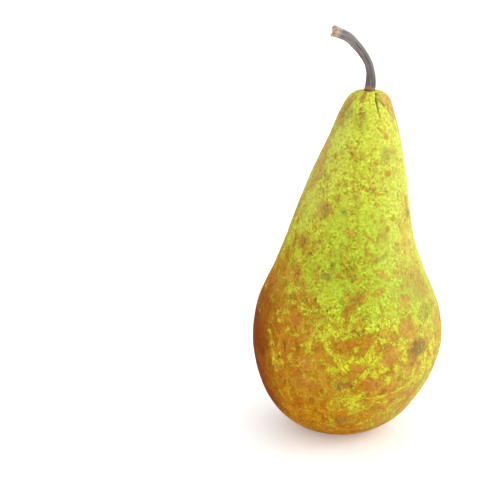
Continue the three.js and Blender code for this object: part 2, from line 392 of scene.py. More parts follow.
def bumps(points, spacing, seed):
    """Smooth noise from -1 to 1 at each point, with swellings about spacing apart."""
    smoothness, finer_by, octaves = 0.6, 2.0, 2
    shift = Vector((seed * 7.3, seed * 3.1, seed * 5.7))
    spots = (Vector(point) / spacing + shift for point in points.reshape(-1, 3))
    values = [noise.fractal(spot, smoothness, finer_by, octaves) for spot in spots]
    return np.array(values).reshape(points.shape[:-1])


def uneven_height(points, rise, spacing, seed):
    """Height with swellings of up to rise, so that no border that follows it is level."""
    return points[..., 2] + rise * bumps(points, spacing, seed)


def by_height(height, table):
    """The value at each height, from a table of heights in millimetres and values."""
    return np.interp(height / MM, *np.transpose(table))


def grid_faces(rings, sides):
    """Quads of a tube of rings, each with so many sides."""
    i, j = np.meshgrid(np.arange(rings - 1), np.arange(sides), indexing="ij")
    across = (j + 1) % sides
    corners = [i * sides + j, i * sides + across, (i + 1) * sides + across, (i + 1) * sides + j]
    return np.stack(corners, axis=-1).reshape(-1, 4).tolist()


def ring_angles(sides):
    """The angle of each point of a swept ring, which turns so that its faces look outward."""
    return -np.linspace(0, 2 * np.pi, sides, endpoint=False)


def sweep(route, width, thickness, sides, reference):
    """A ring grid along a route, of so much half width across reference and half thickness the other way."""
    along = np.gradient(route, axis=0)
    across = np.cross(along, reference)
    across /= np.linalg.norm(across, axis=1, keepdims=True)
    behind = np.cross(across, along)
    behind /= np.linalg.norm(behind, axis=1, keepdims=True)
    angle = ring_angles(sides)[None, :, None]
    flat = np.cos(angle) * across[:, None] * np.reshape(width, (-1, 1, 1))
    thick = np.sin(angle) * behind[:, None] * np.reshape(thickness, (-1, 1, 1))
    return route[:, None] + flat + thick


def closed_tube(points):
    """Vertices and faces of a ring grid, closed at both ends by its first and last ring's middle."""
    rings, sides, _ = points.shape
    ends = [points[0].mean(axis=0), points[-1].mean(axis=0)]
    vertices = np.vstack([points.reshape(-1, 3), ends])
    start, end = rings * sides, rings * sides + 1
    top = (rings - 1) * sides
    faces = grid_faces(rings, sides)
    faces += [[start, (j + 1) % sides, j] for j in range(sides)]
    faces += [[end, top + j, top + (j + 1) % sides] for j in range(sides)]
    return vertices, faces


def normals(points):
    """Outward unit normals of a ring grid, whose rings climb and turn anticlockwise seen from above."""
    around = np.roll(points, -1, axis=1) - np.roll(points, 1, axis=1)
    along = np.gradient(points, axis=0)
    outward = np.cross(around, along)
    return outward / np.maximum(np.linalg.norm(outward, axis=-1, keepdims=True), 1e-12)


def new_piece(name, vertices, faces, material, slot, *nodes):
    """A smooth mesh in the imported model's place, which stands for some of its nodes."""
    mesh = bpy.data.meshes.new(name)
    mesh.from_pydata(vertices, [], faces)
    mesh.polygons.foreach_set("use_smooth", [True] * len(mesh.polygons))
    mesh.materials.append(material)
    piece = bpy.data.objects.new(name, mesh)
    bpy.context.scene.collection.objects.link(piece)
    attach(piece, BODY)
    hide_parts(*nodes)
    return piece


def write_attribute(piece, name, values):
    """Stores one number, or three, on each vertex for the material to read."""
    kind, field = ("FLOAT_VECTOR", "vector") if values.ndim > 1 else ("FLOAT", "value")
    attribute = piece.data.attributes.new(name, kind, "POINT")
    attribute.data.foreach_set(field, values.astype(np.float32).ravel())


def new_material(name):
    """A material, with its node tree and the Principled shader that is linked to its output."""
    material = bpy.data.materials.new(name)
    material.use_nodes = True
    return material, material.node_tree, material.node_tree.nodes["Principled BSDF"]


def add(tree, kind, wires=(), out=0, stops=(), **settings):
    """Adds a node of a kind and returns one of its outputs.

    wires are its inputs, in order or by name or number, each a value or another node's output. stops are the
    places and colours of a colour ramp.
    """
    node = tree.nodes.new("ShaderNode" + kind)
    for name, value in settings.items():
        setattr(node, name, value)
    for name, value in wires.items() if isinstance(wires, dict) else enumerate(wires):
        if isinstance(value, bpy.types.NodeSocket):
            tree.links.new(value, node.inputs[name])
        else:
            node.inputs[name].default_value = value
    for number, (position, colour) in enumerate(stops):
        elements = node.color_ramp.elements
        element = elements[number] if number < 2 else elements.new(position)
        element.position, element.color = position, tuple(colour)
    return node.outputs[out] if node.outputs else node


def place_in_mm(tree):
    """The place on the object, in millimetres."""
    here = add(tree, "TexCoord", out="Object")
    return add(tree, "VectorMath", {0: here, "Scale": 1 / MM}, operation="SCALE")


def layered(tree, colour, *layers):
    """A colour with others laid over it in order, each by its share."""
    for share, top in layers:
        over, under = (
            value if isinstance(value, bpy.types.NodeSocket) else tuple(value) for value in (top, colour)
        )
        wires = {MIX_FACTOR: share, MIX_A: under, MIX_B: over}
        colour = add(tree, "Mix", wires, out=MIX_RESULT, data_type="RGBA")
    return colour


def dress(tree, shader, colour, relief, strength, depth):
    """Gives a shader its colour, and a fine relief of some strength and depth."""
    tree.links.new(colour, shader.inputs["Base Color"])
    bump = add(tree, "Bump", {"Strength": strength, "Distance": depth, "Height": relief})
    tree.links.new(bump, shader.inputs["Normal"])


# ---- sizes and colours ----


def colour_property(name, code, description):
    """A colour that a user may change, given by its sRGB hex value."""
    return bpy.props.FloatVectorProperty(
        name=name, description=description, default=srgb(code), size=4, subtype="COLOR"
    )


def length_property(name, default, description):
    """A length that a user may change, in metres."""
    return bpy.props.FloatProperty(name=name, description=description, default=default, unit="LENGTH")


class PearFruitSettings(bpy.types.PropertyGroup):
    """Sizes of the fruit and colours of its skin."""

    belly_radius: length_property(
        "Belly radius", (FRUIT_HIGH.x - FRUIT_LOW.x) / 2, "Radius of the fruit where it is widest"
    )
    front_to_back: bpy.props.FloatProperty(
        name="Front to back",
        description="Depth of the fruit as a share of its width",
        default=(FRUIT_HIGH.y - FRUIT_LOW.y) / (FRUIT_HIGH.x - FRUIT_LOW.x),
        subtype="FACTOR",
    )
    neck_top: length_property("Neck top", FRUIT_HIGH.z, "Height of the flesh where it meets the stem")
    neck_lean: length_property("Neck lean", 5.2 * MM, "How far the neck's top leans to the side")
    neck_lean_back: length_property("Neck lean back", 1.5 * MM, "How far the neck's top leans to the back")
    foot_shift: length_property("Foot shift", 2.2 * MM, "How far the flat spot lies to the other side")
    unevenness: length_property("Unevenness", 0.35 * MM, "Height of the broad swellings and hollows")
    # The pale colours also lie above the belly under the painted haze, at the right and left of the neck.
    lime: colour_property("Lime", "b8de44", "Clean green skin in the middle of the fruit")
    green: colour_property("Green", "aac034", "Green skin near russet")
    olive: colour_property("Olive", "a49a22", "Thin russet over green")
    yellow_lime: colour_property("Yellow lime", "cecc34", "Clean skin low on the fruit")
    yellow_green: colour_property("Yellow green", "b8ae20", "Skin near russet low on the fruit")
    golden_yellow: colour_property("Golden yellow", "dcbc3c", "Skin in the gaps of the close russet")
    pale_lime: colour_property("Pale lime", "ced848", "Clean skin on the neck and the sunny side")
    pale_green: colour_property("Pale green", "c2c844", "Skin near russet on the neck")
    pale_olive: colour_property("Pale olive", "b8ac3c", "Thin russet on the neck")
    gold: colour_property("Gold", "ba963e", "Russet that covers the green of the neck")
    bronze: colour_property("Bronze", "b08018", "Russet that covers the green of the belly")
    orange_russet: colour_property("Orange russet", "b0680e", "Thick russet")
    tan: colour_property("Tan russet", "c09646", "Thick russet on the paler side")
    brown_russet: colour_property("Brown russet", "885410", "The dullest russet")
    freckle: colour_property("Freckle", "a27c2c", "Freckles of cork on the neck")
    crumb: colour_property("Crumb", "94702c", "Freckles of cork on the belly")
    # Painted haze: a pale wash laid as bright light over the right side and the left of the neck.
    painted_haze_colour: colour_property("Bleached", "c4be80", "Pale haze over the sunny side")
    # Painted shade: the colour that the skin low on the left side is multiplied by.
    painted_shade_colour: colour_property("Shaded", "b48230", "What the shade multiplies the colours by")
    spot: colour_property("Spot", "a06e2a", "Corky spots")
    bruise: colour_property("Bruise", "70583a", "Grey brown stains")
    speck: colour_property("Speck", "504c1a", "Tiny blackened specks")
    fold: colour_property("Fold", "6e4c1e", "The bottom of the folds beside the stem")


class PearStemSettings(bpy.types.PropertyGroup):
    """Thickness of the stem and colours of its bark."""

    thickness: bpy.props.FloatProperty(
        name="Thickness",
        description="Thickness of the stem as a share of the packed model's",
        default=1.0,
        subtype="FACTOR",
    )
    bark: colour_property("Bark", "685e5c", "Bark low on the stem")
    weathered: colour_property("Weathered bark", "86807e", "Paler bark towards the end")
    furrow: colour_property("Furrow", "463a34", "Furrows in the bark")
    lenticel: colour_property("Lenticel", "c2b690", "Small corky pores in the bark")
    collar: colour_property("Collar", "9c7c60", "The stem's root, where it leaves the flesh")
    joint: colour_property("Joint", "5c4226", "The dark line between the stem and the flesh")
    torn_rim: colour_property("Torn rim", "c6ab98", "Pale inner bark round the break")
    broken_end: colour_property("Broken end", "bc9c84", "Bare wood where the stem came off the twig")


class PearCalyxSettings(bpy.types.PropertyGroup):
    """Sizes and colour of the dried flower parts."""

    sepal_length: length_property("Sepal length", 5.0 * MM, "Length of each dried sepal from root to tip")
    sepal_width: length_property("Sepal width", 2.2 * MM, "Width of each dried sepal at its root")
    stamen_count: bpy.props.IntProperty(
        name="Stamens",
        description="How many dried stamens stand in the calyx",
        default=18,
    )
    dried: colour_property("Dried brown", "785a3c", "The dried sepals and stamens")


class PearStageSettings(bpy.types.PropertyGroup):
    """Floor and camera."""

    floor_radius: length_property("Floor radius", 6.0, "Radius of the studio floor")
    camera_distance: length_property("Camera distance", 0.44, "Distance to the point the camera looks at")
    camera_elevation: bpy.props.FloatProperty(
        name="Camera elevation",
        description="How far the camera looks down",
        default=math.radians(18),
        subtype="ANGLE",
    )
    lens: bpy.props.FloatProperty(
        name="Lens",
        description="Focal length on a 36 mm wide sensor",
        default=93.6,
        subtype="DISTANCE_CAMERA",
    )
    floor_colour: colour_property("Floor", "efeeed", "The pale floor")


# ---- fruit ----


def fruit_scale(fruit):
    """What turns a radius and a height of PROFILE_MM into the fruit's own, in metres."""
    return np.array([fruit.belly_radius / BELLY_RADIUS_MM, fruit.neck_top / NECK_TOP_MM])


def middle_line(fruit, height):
    """Sideways and backward place of the fruit's middle at a height, in metres."""
    scale = fruit.neck_top / NECK_TOP_MM
    neck = smoothstep(height, NECK_LEAN_START_MM * scale, NECK_TOP_MM * scale)
    belly = smoothstep(height, 0, BELLY_HEIGHT_MM * scale)
    return fruit.neck_lean * neck - fruit.foot_shift * (1 - belly), fruit.neck_lean_back * neck


def place(fruit, radius, height, angle):
    """Points at a radius, height and angle round the fruit's leaning middle line."""
    side, back = middle_line(fruit, height)
    across = side + radius * np.sin(angle)
    behind = back - radius * np.cos(angle) * fruit.front_to_back
    return np.stack([across, behind, height + 0 * angle], axis=-1)


def profile(fruit):
    """Radius and height of each ring of the fruit, in metres, without the points at its two ends."""
    return evenly(spline(PROFILE_MM, CURVE_STEPS), FRUIT_RINGS)[1:-1] * fruit_scale(fruit)


def side_radius(fruit, height):
    """The fruit's radius at a height, on its outer side."""
    side = spline(PROFILE_MM[FOOT_STATION:-1], CURVE_STEPS) * fruit_scale(fruit)
    return np.interp(height, side[:, 1], side[:, 0])


def on_side(fruit, angle_deg, height_mm):
    """The point on the fruit's side at an angle and a height."""
    height = np.asarray(height_mm) * MM
    return place(fruit, side_radius(fruit, height), height, np.radians(angle_deg))


def distance_to_route(points, route):
    """Distance from each point to a route, and how far along, counted in its points, the nearest place is."""
    nearest = np.full(points.shape[:-1], np.inf)
    along = np.zeros(points.shape[:-1])
    for i, (a, b) in enumerate(zip(route[:-1], route[1:])):
        share = np.clip((points - a) @ (b - a) / ((b - a) @ (b - a)), 0, 1)
        gap = np.linalg.norm(points - a - share[..., None] * (b - a), axis=-1)
        closer = gap < nearest
        nearest, along = np.where(closer, gap, nearest), np.where(closer, i + share, along)
    return nearest, along


def fold_depth(fruit, points):
    """How deep the folds round the stem are at each point, in metres."""
    depth = np.zeros(points.shape[:-1])
    for fold in FOLDS_MM:
        angles, heights, depths = np.array(fold).T
        gap, along = distance_to_route(points, on_side(fruit, angles, heights))
        here = np.interp(along, np.arange(len(fold)), depths) * MM
        depth = np.maximum(depth, here * np.exp(-((gap / (FOLD_WIDTH_MM * MM)) ** 2)))
    return depth


def lobe_rise(fruit, points):
    """How far the fleshy lobes round the stem stand out at each point, in metres."""
    rise = np.zeros(points.shape[:-1])
    for angle, height, width, top in LOBES_MM:
        gap = np.linalg.norm(points - on_side(fruit, angle, height), axis=-1)
        rise += top * MM * np.exp(-((gap / (width * MM)) ** 2))
    return rise


def marked(fruit, points, patches, lines, seed):
    """The strength of the strongest of some marks at each point, from 0 to 1, with uneven outlines."""
    wander = 0.35 * bumps(points, 3.5 * MM, seed) + 0.3 * bumps(points, 1.4 * MM, seed + 0.5)
    broken = np.clip(0.9 + 0.8 * bumps(points, 2.5 * MM, seed + 0.2), 0.2, 1)
    strength = np.zeros(points.shape[:-1])
    for angle, height, width, tall, most in patches:
        offset = points - on_side(fruit, angle, height)
        sine, cosine = np.sin(np.radians(angle)), np.cos(np.radians(angle))
        across, outward = offset @ np.array([cosine, sine, 0]), offset @ np.array([sine, -cosine, 0])
        reach = np.sqrt((across / (width * MM)) ** 2 + (offset[..., 2] / (tall * MM)) ** 2) + wander
        near = outward > -fruit.belly_radius / 2
        strength = np.maximum(strength, most * near * (1 - smoothstep(reach, 0.45, 1.35)))
    for width, most, *route in lines:
        gap, _ = distance_to_route(points, on_side(fruit, *np.transpose(route)))
        reach = gap / (width * MM) + wander
        strength = np.maximum(strength, most * broken * (1 - smoothstep(reach, 0.45, 1.6)))
    return strength


def russet_cover(fruit, points, right, back):
    """How readily russet forms at each point: at 0.5 it covers half of the skin."""
    behind = smoothstep(back, -0.3, 0.5)
    height = uneven_height(points, 14 * MM * behind, 20 * MM, 5)
    cover = by_height(height, RUSSET_BY_HEIGHT_MM)
    edge = by_height(height, LEFT_EDGE_MM)
    left = smoothstep(-right, edge - 0.3, edge + 0.45)
    limb = smoothstep(-right, 0.75, 1.0) * by_height(height, LEFT_BAND_MM)
    cover = cover + left * (0.8 - cover) + limb * 0.15 - 0.06 * smoothstep(right, -0.1, 0.6)
    cover = cover + behind * (0.2 * bumps(points, 12 * MM, 6) - 0.04)
    outer = by_height(height, RIGHT_BAND_MM)
    outer = outer * smoothstep(right, 0.58, 0.84) * (1 - 0.7 * smoothstep(right, 0.86, 0.98))
    cover = cover + outer * (0.2 + 0.1 * bumps(points, 9 * MM, 13))
    cover = cover + marked(fruit, points, RUSSET_PATCHES_MM, RUSSET_LINES_MM, 11)
    return cover - marked(fruit, points, GREEN_PATCHES_MM, GREEN_LINES_MM, 12)


def settled(points, back):
    """How far the marks, instead of chance, say where russet lies: 1 on the belly's front and at the top."""
    height = points[..., 2]
    belly = smoothstep(-back, 0.1, 0.5) * (1 - smoothstep(height, 54 * MM, 70 * MM))
    return np.maximum(belly, smoothstep(height, 104 * MM, 110 * MM))


def russet_body(points, right, back):
    """How thick the russet is: a thin olive film on the neck, 0, and crisp brown cork on the belly, 1."""
    uneven = uneven_height(points, 14 * MM * smoothstep(back, -0.3, 0.5), 20 * MM, 5)
    low = 1 - smoothstep(uneven, 42 * MM, 72 * MM)
    thin = smoothstep(right, 0.45, 0.85) * smoothstep(points[..., 2], 36 * MM, 50 * MM)
    left = smoothstep(-right, 0.75, 1.0) * (1 - smoothstep(uneven, 70 * MM, 90 * MM))
    behind = smoothstep(back, 0.0, 0.8)
    return np.maximum(low * (1 - 0.7 * thin), np.maximum(0.9 * left, 0.7 * behind))


def ripeness(points):
    """How yellow the green skin is: lime above, 0, and yellow below, 1."""
    return 1 - smoothstep(uneven_height(points, 3 * MM, 12 * MM, 7), 32 * MM, 58 * MM)


def goldenness(points, right):
    """How golden the skin of the left side is, from 0 to 1."""
    return by_height(uneven_height(points, 3 * MM, 12 * MM, 7), GOLDEN_MM) * smoothstep(-right, 0.1, 0.75)


def painted_haze_reach(points, right, back):
    """Where a pale painted haze of bright light lies, from 0 to 1: most at the right, some left of the neck.
    """
    most = smoothstep(right, 0.0, 0.9) * (1 - smoothstep(back, 0.2, 0.8))
    some = smoothstep(-right, 0.35, 0.9) * smoothstep(points[..., 2], 66 * MM, 90 * MM)
    return np.maximum(most, some)


def paleness(points, right, back):
    """How pale and yellow the thin skin of the neck's top is, and above the belly the skin under the painted
    haze, from 0 to 1.
    """
    high = smoothstep(uneven_height(points, 5 * MM, 10 * MM, 8), 64 * MM, 104 * MM)
    above_belly = smoothstep(points[..., 2], 50 * MM, 70 * MM)
    return np.maximum(high, 0.8 * above_belly * painted_haze_reach(points, right, back))


def russet_warmth(points, right):
    """From pale tan, 0, to deep orange, 1: russet is warmer at the left and low down."""
    low = 1 - smoothstep(points[..., 2], 6 * MM, 34 * MM)
    return np.clip(0.5 - 0.25 * right + 0.55 * low + 0.3 * bumps(points, 14 * MM, 6), 0, 1)


def painted_shade_share(points, right):
    """How much painted shade darkens and browns the skin low on the left side, from 0 to 1."""
    uneven = bumps(points, 12 * MM, 9)
    low = 1 - smoothstep(points[..., 2] + 8 * MM * uneven, 34 * MM, 68 * MM)
    return smoothstep(-right + 0.08 * uneven, 0.7, 1.0) * low


class PEAR_OT_fruit(bpy.types.Operator):
    """Builds the flesh and skin: the leaning body, the folds round the stem and the calyx hollow"""

    bl_idname = "pear.fruit"
    bl_label = "Fruit"

    def execute(self, context):
        fruit = context.scene.pear_fruit
        rings = profile(fruit)
        angle = np.linspace(0, 2 * np.pi, FRUIT_SIDES, endpoint=False) + np.zeros((len(rings), 1))
        radius, height = rings[:, :1] + 0 * angle, rings[:, 1:] + 0 * angle
        points = place(fruit, radius, height, angle)
        outward = normals(points)

        off_ground = smoothstep(points[..., 2], 1.5 * MM, 12 * MM)
        swell = off_ground * fruit.unevenness * bumps(points, 24 * MM, 1)
        ripple = off_ground * 0.1 * MM * bumps(points, 6 * MM, 2)
        fold = fold_depth(fruit, points)
        rise = lobe_rise(fruit, points)
        low_side = np.arange(len(rings))[:, None] < len(rings) / 2
        in_hollow = low_side * (1 - smoothstep(radius, 6.5 * MM, 9 * MM))
        pleats = np.sin(PLEATS * angle + 2.0 * bumps(points, 7 * MM, 3))
        pucker = in_hollow * 0.4 * MM * pleats * smoothstep(radius, 1.5 * MM, 4 * MM)
        points = points + outward * (swell + ripple + rise - fold + pucker)[..., None]
        points[..., 2] = np.maximum(points[..., 2], 0)

        # How far a point faces right and back, from -1 to 1, fading to 0 in the middle of the foot and top.
        outer = np.where(low_side, smoothstep(radius, 4 * MM, 24 * MM), smoothstep(radius, 1 * MM, 6 * MM))
        right, back = outer * np.sin(angle), -outer * np.cos(angle)

        vertices, faces = closed_tube(points)
        piece = new_piece("pear_fruit", vertices, faces, skin_material(fruit), "skin", "fruit")
        for name, values in (
            ("russet", russet_cover(fruit, points, right, back)),
            ("settled", settled(points, back)),
            ("body", russet_body(points, right, back)),
            ("ripe", ripeness(points)),
            ("golden", goldenness(points, right)),
            ("pale", paleness(points, right, back)),
            ("sunny", painted_haze_reach(points, right, back)),
            ("warmth", russet_warmth(points, right)),
            ("shady", painted_shade_share(points, right)),
            ("spots", marked(fruit, points, SPOTS_MM, SPOT_LINES_MM, 13)),
            ("stains", marked(fruit, points, STAINS_MM, STAIN_LINES_MM, 14)),
            ("specks", marked(fruit, points, SPECKS_MM, (), 15)),
            ("streaks", marked(fruit, points, STREAKS_MM, (), 16)),
            ("folds", fold / MM),
        ):
            write_attribute(piece, name, np.r_[values.ravel(), values[0].mean(), values[-1].mean()])
        return {"FINISHED"}


def skin_material(fruit):
    """Pear skin, grown: green cells under thin wax, netted and patched with dry cork, so it is half matt. It
    also carries a painted shade low on the left and a painted haze of light on the right.
    """
    material, tree, shader = new_material("waxy_pear_skin_with_cork_russet")
    shader.inputs["IOR"].default_value = 1.45
    shader.inputs["Specular IOR Level"].default_value = 0.012
    put = partial(add, tree)

    names = "russet settled body ripe golden pale sunny warmth shady spots stains specks streaks folds"
    marks = {name: put("Attribute", out="Fac", attribute_name=name) for name in names.split()}
    in_mm = place_in_mm(tree)

    # Growth pulls the pattern about by 1 mm or so, every 3.5 mm, and draws it out along the fruit.
    pull = put("TexNoise", {"Vector": in_mm, "Scale": 1 / 3.5, "Detail": 3.0}, out="Color")
    grown = put("VectorMath", (pull, (3, 3, 3), in_mm), operation="MULTIPLY_ADD")
    grown = put("VectorMath", (grown, (1, 1, 0.75)), operation="MULTIPLY")
    level = put("VectorMath", (in_mm, (0.16, 0.16, 1.9)), operation="MULTIPLY")

    # Each noise with the size of its features in mm. Russet spreads in clumps, breaks up into islands and
    # crumbles into grain. Crinkled veins follow the middle of the folded noise. Level streaks are 6 mm long.
    noises = {
        name: put("TexNoise", {"Vector": vector, "Scale": 1 / size, "Detail": detail, "Roughness": rough})
        for name, vector, size, detail, rough in (
            ("clumps", grown, 6, 2.0, 0.6),
            ("islands", grown, 2.2, 4.0, 0.6),
            ("folded", grown, 1.5, 1.0, 0.5),
            ("tone", grown, 2.6, 3.0, 0.6),
            ("blotch", grown, 4, 5.0, 0.6),
            ("grain", in_mm, 0.9, 2.0, 0.6),
            ("streaks", level, 1, 1.0, 0.5),
        )
    }
    off_vein = put("Math", (noises["folded"], NOISE_MIDDLE), operation="SUBTRACT")
    off_vein = put("Math", (off_vein,), operation="ABSOLUTE")
    off_clump = put("Math", (noises["clumps"], NOISE_MIDDLE), operation="SUBTRACT")

    # Straight changes, each as the value, where the change starts and ends, and what it gives there.
    vein, streak, clump_weight, spread, least, painted_haze_amount, unevenly, blotch_swing, green_swing = (
        put("MapRange", change)
        for change in (
            (off_vein, 0.0, 0.055, 0.2, 0.0),
            (noises["streaks"], 0.4, 0.6, 0.1, -0.1),
            (marks["settled"], 0.0, 1.0, 0.75, 0.3),
            (marks["body"], 0.0, 1.0, 0.3, 0.19),
            (noises["blotch"], 0.4, 0.6, -0.2, -0.07),
            (marks["sunny"], 0.0, 1.0, 0.0, 0.2),
            (noises["clumps"], 0.35, 0.65, 0.55, 1.45),
            (marks["body"], 0.0, 1.0, 0.24, 0.26),
            (marks["ripe"], 0.0, 1.0, 0.44, 0.32),
        )
    )

    # How much russet grows: what the place and the marks call for, with chance added.
    growth = 0.0
    for value, weight in (
        (marks["russet"], RUSSET_WEIGHT),
        (off_clump, clump_weight),
        (noises["islands"], ISLAND_WEIGHT),
        (noises["grain"], GRAIN_WEIGHT),
        (streak, marks["streaks"]),
    ):
        growth = put("Math", (value, weight, growth), operation="MULTIPLY_ADD")

    # From clean green, 0, over half covered, 0.25, to thick cork, 1. Thick russet has sharp edges.
    half_covered = (RUSSET_WEIGHT + ISLAND_WEIGHT + GRAIN_WEIGHT) * NOISE_MIDDLE + 0.03
    excess = put("Math", (growth, half_covered), operation="SUBTRACT")
    excess = put("Math", (excess, least), operation="MAXIMUM")
    excess = put("Math", (vein, marks["body"], excess), operation="MULTIPLY_ADD")
    excess = put("Math", (excess, spread), operation="DIVIDE")
    thickness = put("MapRange", (excess, -1.0, 3.0))

    # What each part of the fruit looks like from clean skin to thick cork, as thickness and colour.
    waist, belly, neck, film, tan, orange = (
        put("ValToRGB", (thickness,), stops=stops)
        for stops in (
            ((0.02, fruit.lime), (0.13, fruit.green), (0.22, fruit.olive)),
            ((0.05, fruit.yellow_lime), (0.2, fruit.yellow_green), (0.27, fruit.olive)),
            ((0.0, fruit.pale_lime), (0.15, fruit.pale_green), (0.25, fruit.pale_olive)),
            ((0.25, fruit.pale_olive), (0.4, fruit.gold), (0.7, fruit.tan)),
            ((0.25, fruit.olive), (0.35, fruit.bronze), (0.9, fruit.tan)),
            ((0.25, fruit.olive), (0.34, fruit.bronze), (0.65, fruit.orange_russet)),
        )
    )

    # Freckles of cork lie in the green and gaps in the cork, one in each cell about 1 mm wide. Freckles are
    # larger where russet crowds and gaps are larger where the cork is thin, and chance changes each of them.
    crowd = put("Math", (noises["clumps"], 0.5), operation="MULTIPLY")
    for value, weight in ((noises["islands"], 0.35), (marks["russet"], 0.5), (marks["warmth"], 0.2)):
        crowd = put("Math", (value, weight, crowd), operation="MULTIPLY_ADD")
    jitter = noises["grain"].node.outputs["Color"]
    frayed = put("VectorMath", (jitter, (2.2, 2.2, 2.2), grown), operation="MULTIPLY_ADD")
    dots = []
    for pitch, turn, change in (
        (1.0, 0.0, (crowd, 0.53, 0.78, 0.06, 0.55)),
        (1.1, 1.0, (thickness, 0.28, 0.7, 0.45, 0.25)),
    ):
        turned = put("VectorRotate", {"Vector": frayed, "Angle": turn, "Axis": (1, 1, 0.5)})
        cells = put("TexVoronoi", {"Vector": turned, "Scale": 1 / pitch})
        chance = put("SeparateColor", (cells.node.outputs["Color"],))
        chance = put("MapRange", (chance, 0.0, 1.0, 0.35, 1.35))
        edge = put("Math", (put("MapRange", change), chance), operation="MULTIPLY")
        core = put("Math", (edge, 0.16), operation="SUBTRACT")
        dots.append(put("MapRange", (cells, edge, core), interpolation_type="SMOOTHSTEP"))
    freckles, gaps = dots

    # Pores every 2.6 mm, and tiny blackened specks every 1.2 mm where they lie.
    pores, specks = (put("TexVoronoi", {"Vector": frayed, "Scale": 1 / pitch}) for pitch in (2.6, 1.2))
    nicks, scratches = (line_mask(tree, fruit, in_mm, lines) for lines in (NICKS_MM, SCRATCHES_MM))
    ragged = put("Math", (noises["grain"], 7.0, -2.5), operation="MULTIPLY_ADD")
    worn_spots, worn_stains = (
        put("Math", (ragged, marks[name]), operation="MULTIPLY") for name in ("spots", "stains")
    )

    # Soft steps of a value, each as the value, where the step starts and ends, and the shares there.
    cork, deep, faded, halo, spot, stain, fold, pore, speck, nick, scratch, grain_swing = (
        put("MapRange", step, interpolation_type="SMOOTHSTEP")
        for step in (
            (thickness, 0.21, 0.29, 0.0, 1.0),
            (noises["tone"], 0.5, 0.3, 0.0, 0.6),
            (noises["tone"], 0.5, 0.7, 0.0, 0.5),
            (worn_spots, 0.05, 0.5, 0.0, 0.4),
            (worn_spots, 0.15, 1.1, 0.0, 0.65),
            (worn_stains, 0.0, 1.0, 0.0, 0.7),
            (marks["folds"], 0.06, 0.5, 0.0, 0.85),
            (pores, 0.16, 0.06, 0.0, 0.45),
            (specks, 0.34, 0.14, 0.0, 0.75),
            (nicks, 0.05, 0.45, 0.0, 0.9),
            (scratches, 0.05, 0.6, 0.0, 0.4),
            (thickness, 0.2, 0.3, green_swing, 0.25),
        )
    )
    bare, filmy = (put("Math", (1.0, share), operation="SUBTRACT") for share in (cork, marks["body"]))
    freckle, gap, deep, faded, speck, golden = (
        put("Math", factors, operation="MULTIPLY")
        for factors in (
            (put("Math", (freckles, bare), operation="MULTIPLY"), 0.8),
            (put("Math", (gaps, cork), operation="MULTIPLY"), 0.65),
            (deep, cork),
            (faded, cork),
            (speck, marks["specks"]),
            (marks["golden"], 0.65),
        )
    )
    lay = partial(layered, tree)
    green = lay(waist, (marks["ripe"], belly), (golden, fruit.golden_yellow), (marks["pale"], neck))
    brown = lay(tan, (marks["warmth"], orange), (filmy, film))
    colour = lay(
        green,
        (cork, brown),
        (deep, fruit.brown_russet),
        (faded, lay(fruit.tan, (marks["warmth"], fruit.bronze))),
        (freckle, lay(fruit.freckle, (marks["body"], fruit.crumb))),
        (gap, lay(fruit.yellow_lime, (thickness, fruit.gold))),
    )

    # Every 4 mm the skin is a little duller or brighter, and finely so from grain to grain. Dark is redder.
    for noise_name, swing_size, where, redder in (
        ("blotch", blotch_swing, 1.0, (0.55, 1.15, 1.25)),
        ("grain", grain_swing, unevenly, (0.78, 1.05, 1.12)),
    ):
        swing = put("MapRange", (noises[noise_name], 0.3, 0.7, -1.0, 1.0))
        for factor in (where, swing_size):
            swing = put("Math", (swing, factor), operation="MULTIPLY")
        shade = put("VectorMath", (swing, redder, (1, 1, 1)), operation="MULTIPLY_ADD")
        colour = put("VectorMath", (colour, shade), operation="MULTIPLY")

    # Painted shade: the skin low on the left side is multiplied by a brown, less in the green gaps than on the
    # cork.
    shady = put("MapRange", (cork, 0.0, 1.0, 0.3, 1.0))
    shady = put("Math", (marks["shady"], shady), operation="MULTIPLY")
    painted_light_tint = lay((1, 1, 1, 1), (shady, fruit.painted_shade_colour))
    colour = put("VectorMath", (colour, painted_light_tint), operation="MULTIPLY")
    # First a painted haze of bright light over the right side and the left of the neck, then the marks.
    colour = lay(
        colour,
        (painted_haze_amount, fruit.painted_haze_colour),
        (pore, fruit.spot),
        (halo, fruit.bronze),
        (spot, fruit.spot),
        (stain, fruit.bruise),
        (speck, fruit.speck),
        (nick, fruit.fold),
        (scratch, fruit.yellow_lime),
        (fold, fruit.fold),
    )
    roughness = put("MapRange", (cork, 0.0, 1.0, 0.42, 0.6))
    tree.links.new(roughness, shader.inputs["Roughness"])
    relief = put("Math", (cork, 0.4, noises["grain"]), operation="MULTIPLY_ADD")
    relief = put("Math", (pore, 0.6, relief), operation="MULTIPLY_ADD")
    dress(tree, shader, colour, relief, 0.5, 0.06 * MM)
    return material


def line_mask(tree, fruit, in_mm, lines):
    """A mask that is 1 in the middle of thin lines on the skin, with a slim ellipsoid for each stretch."""
    mask = 0.0
    for half_width, *route in lines:
        points = on_side(fruit, *np.transpose(route)) / MM
        for (angle, _), start, end in zip(route, points[:-1], points[1:]):
            along = Vector(end - start)
            outward = Vector((math.sin(math.radians(angle)), -math.cos(math.radians(angle)), 0))
            across = outward.cross(along).normalized()
            axes = Matrix((along.normalized(), across, along.cross(across).normalized())).transposed()
            reach = (along.length * 0.65, half_width * 1.6, 5.0)
            wires = (in_mm, (start + end) / 2, axes.to_euler(), reach)
            local = add(tree, "Mapping", wires, vector_type="TEXTURE")
            here = add(tree, "TexGradient", (local,), out="Fac", gradient_type="SPHERICAL")
            mask = add(tree, "Math", (mask, here), operation="MAXIMUM")
    return mask


# ---- stem ----


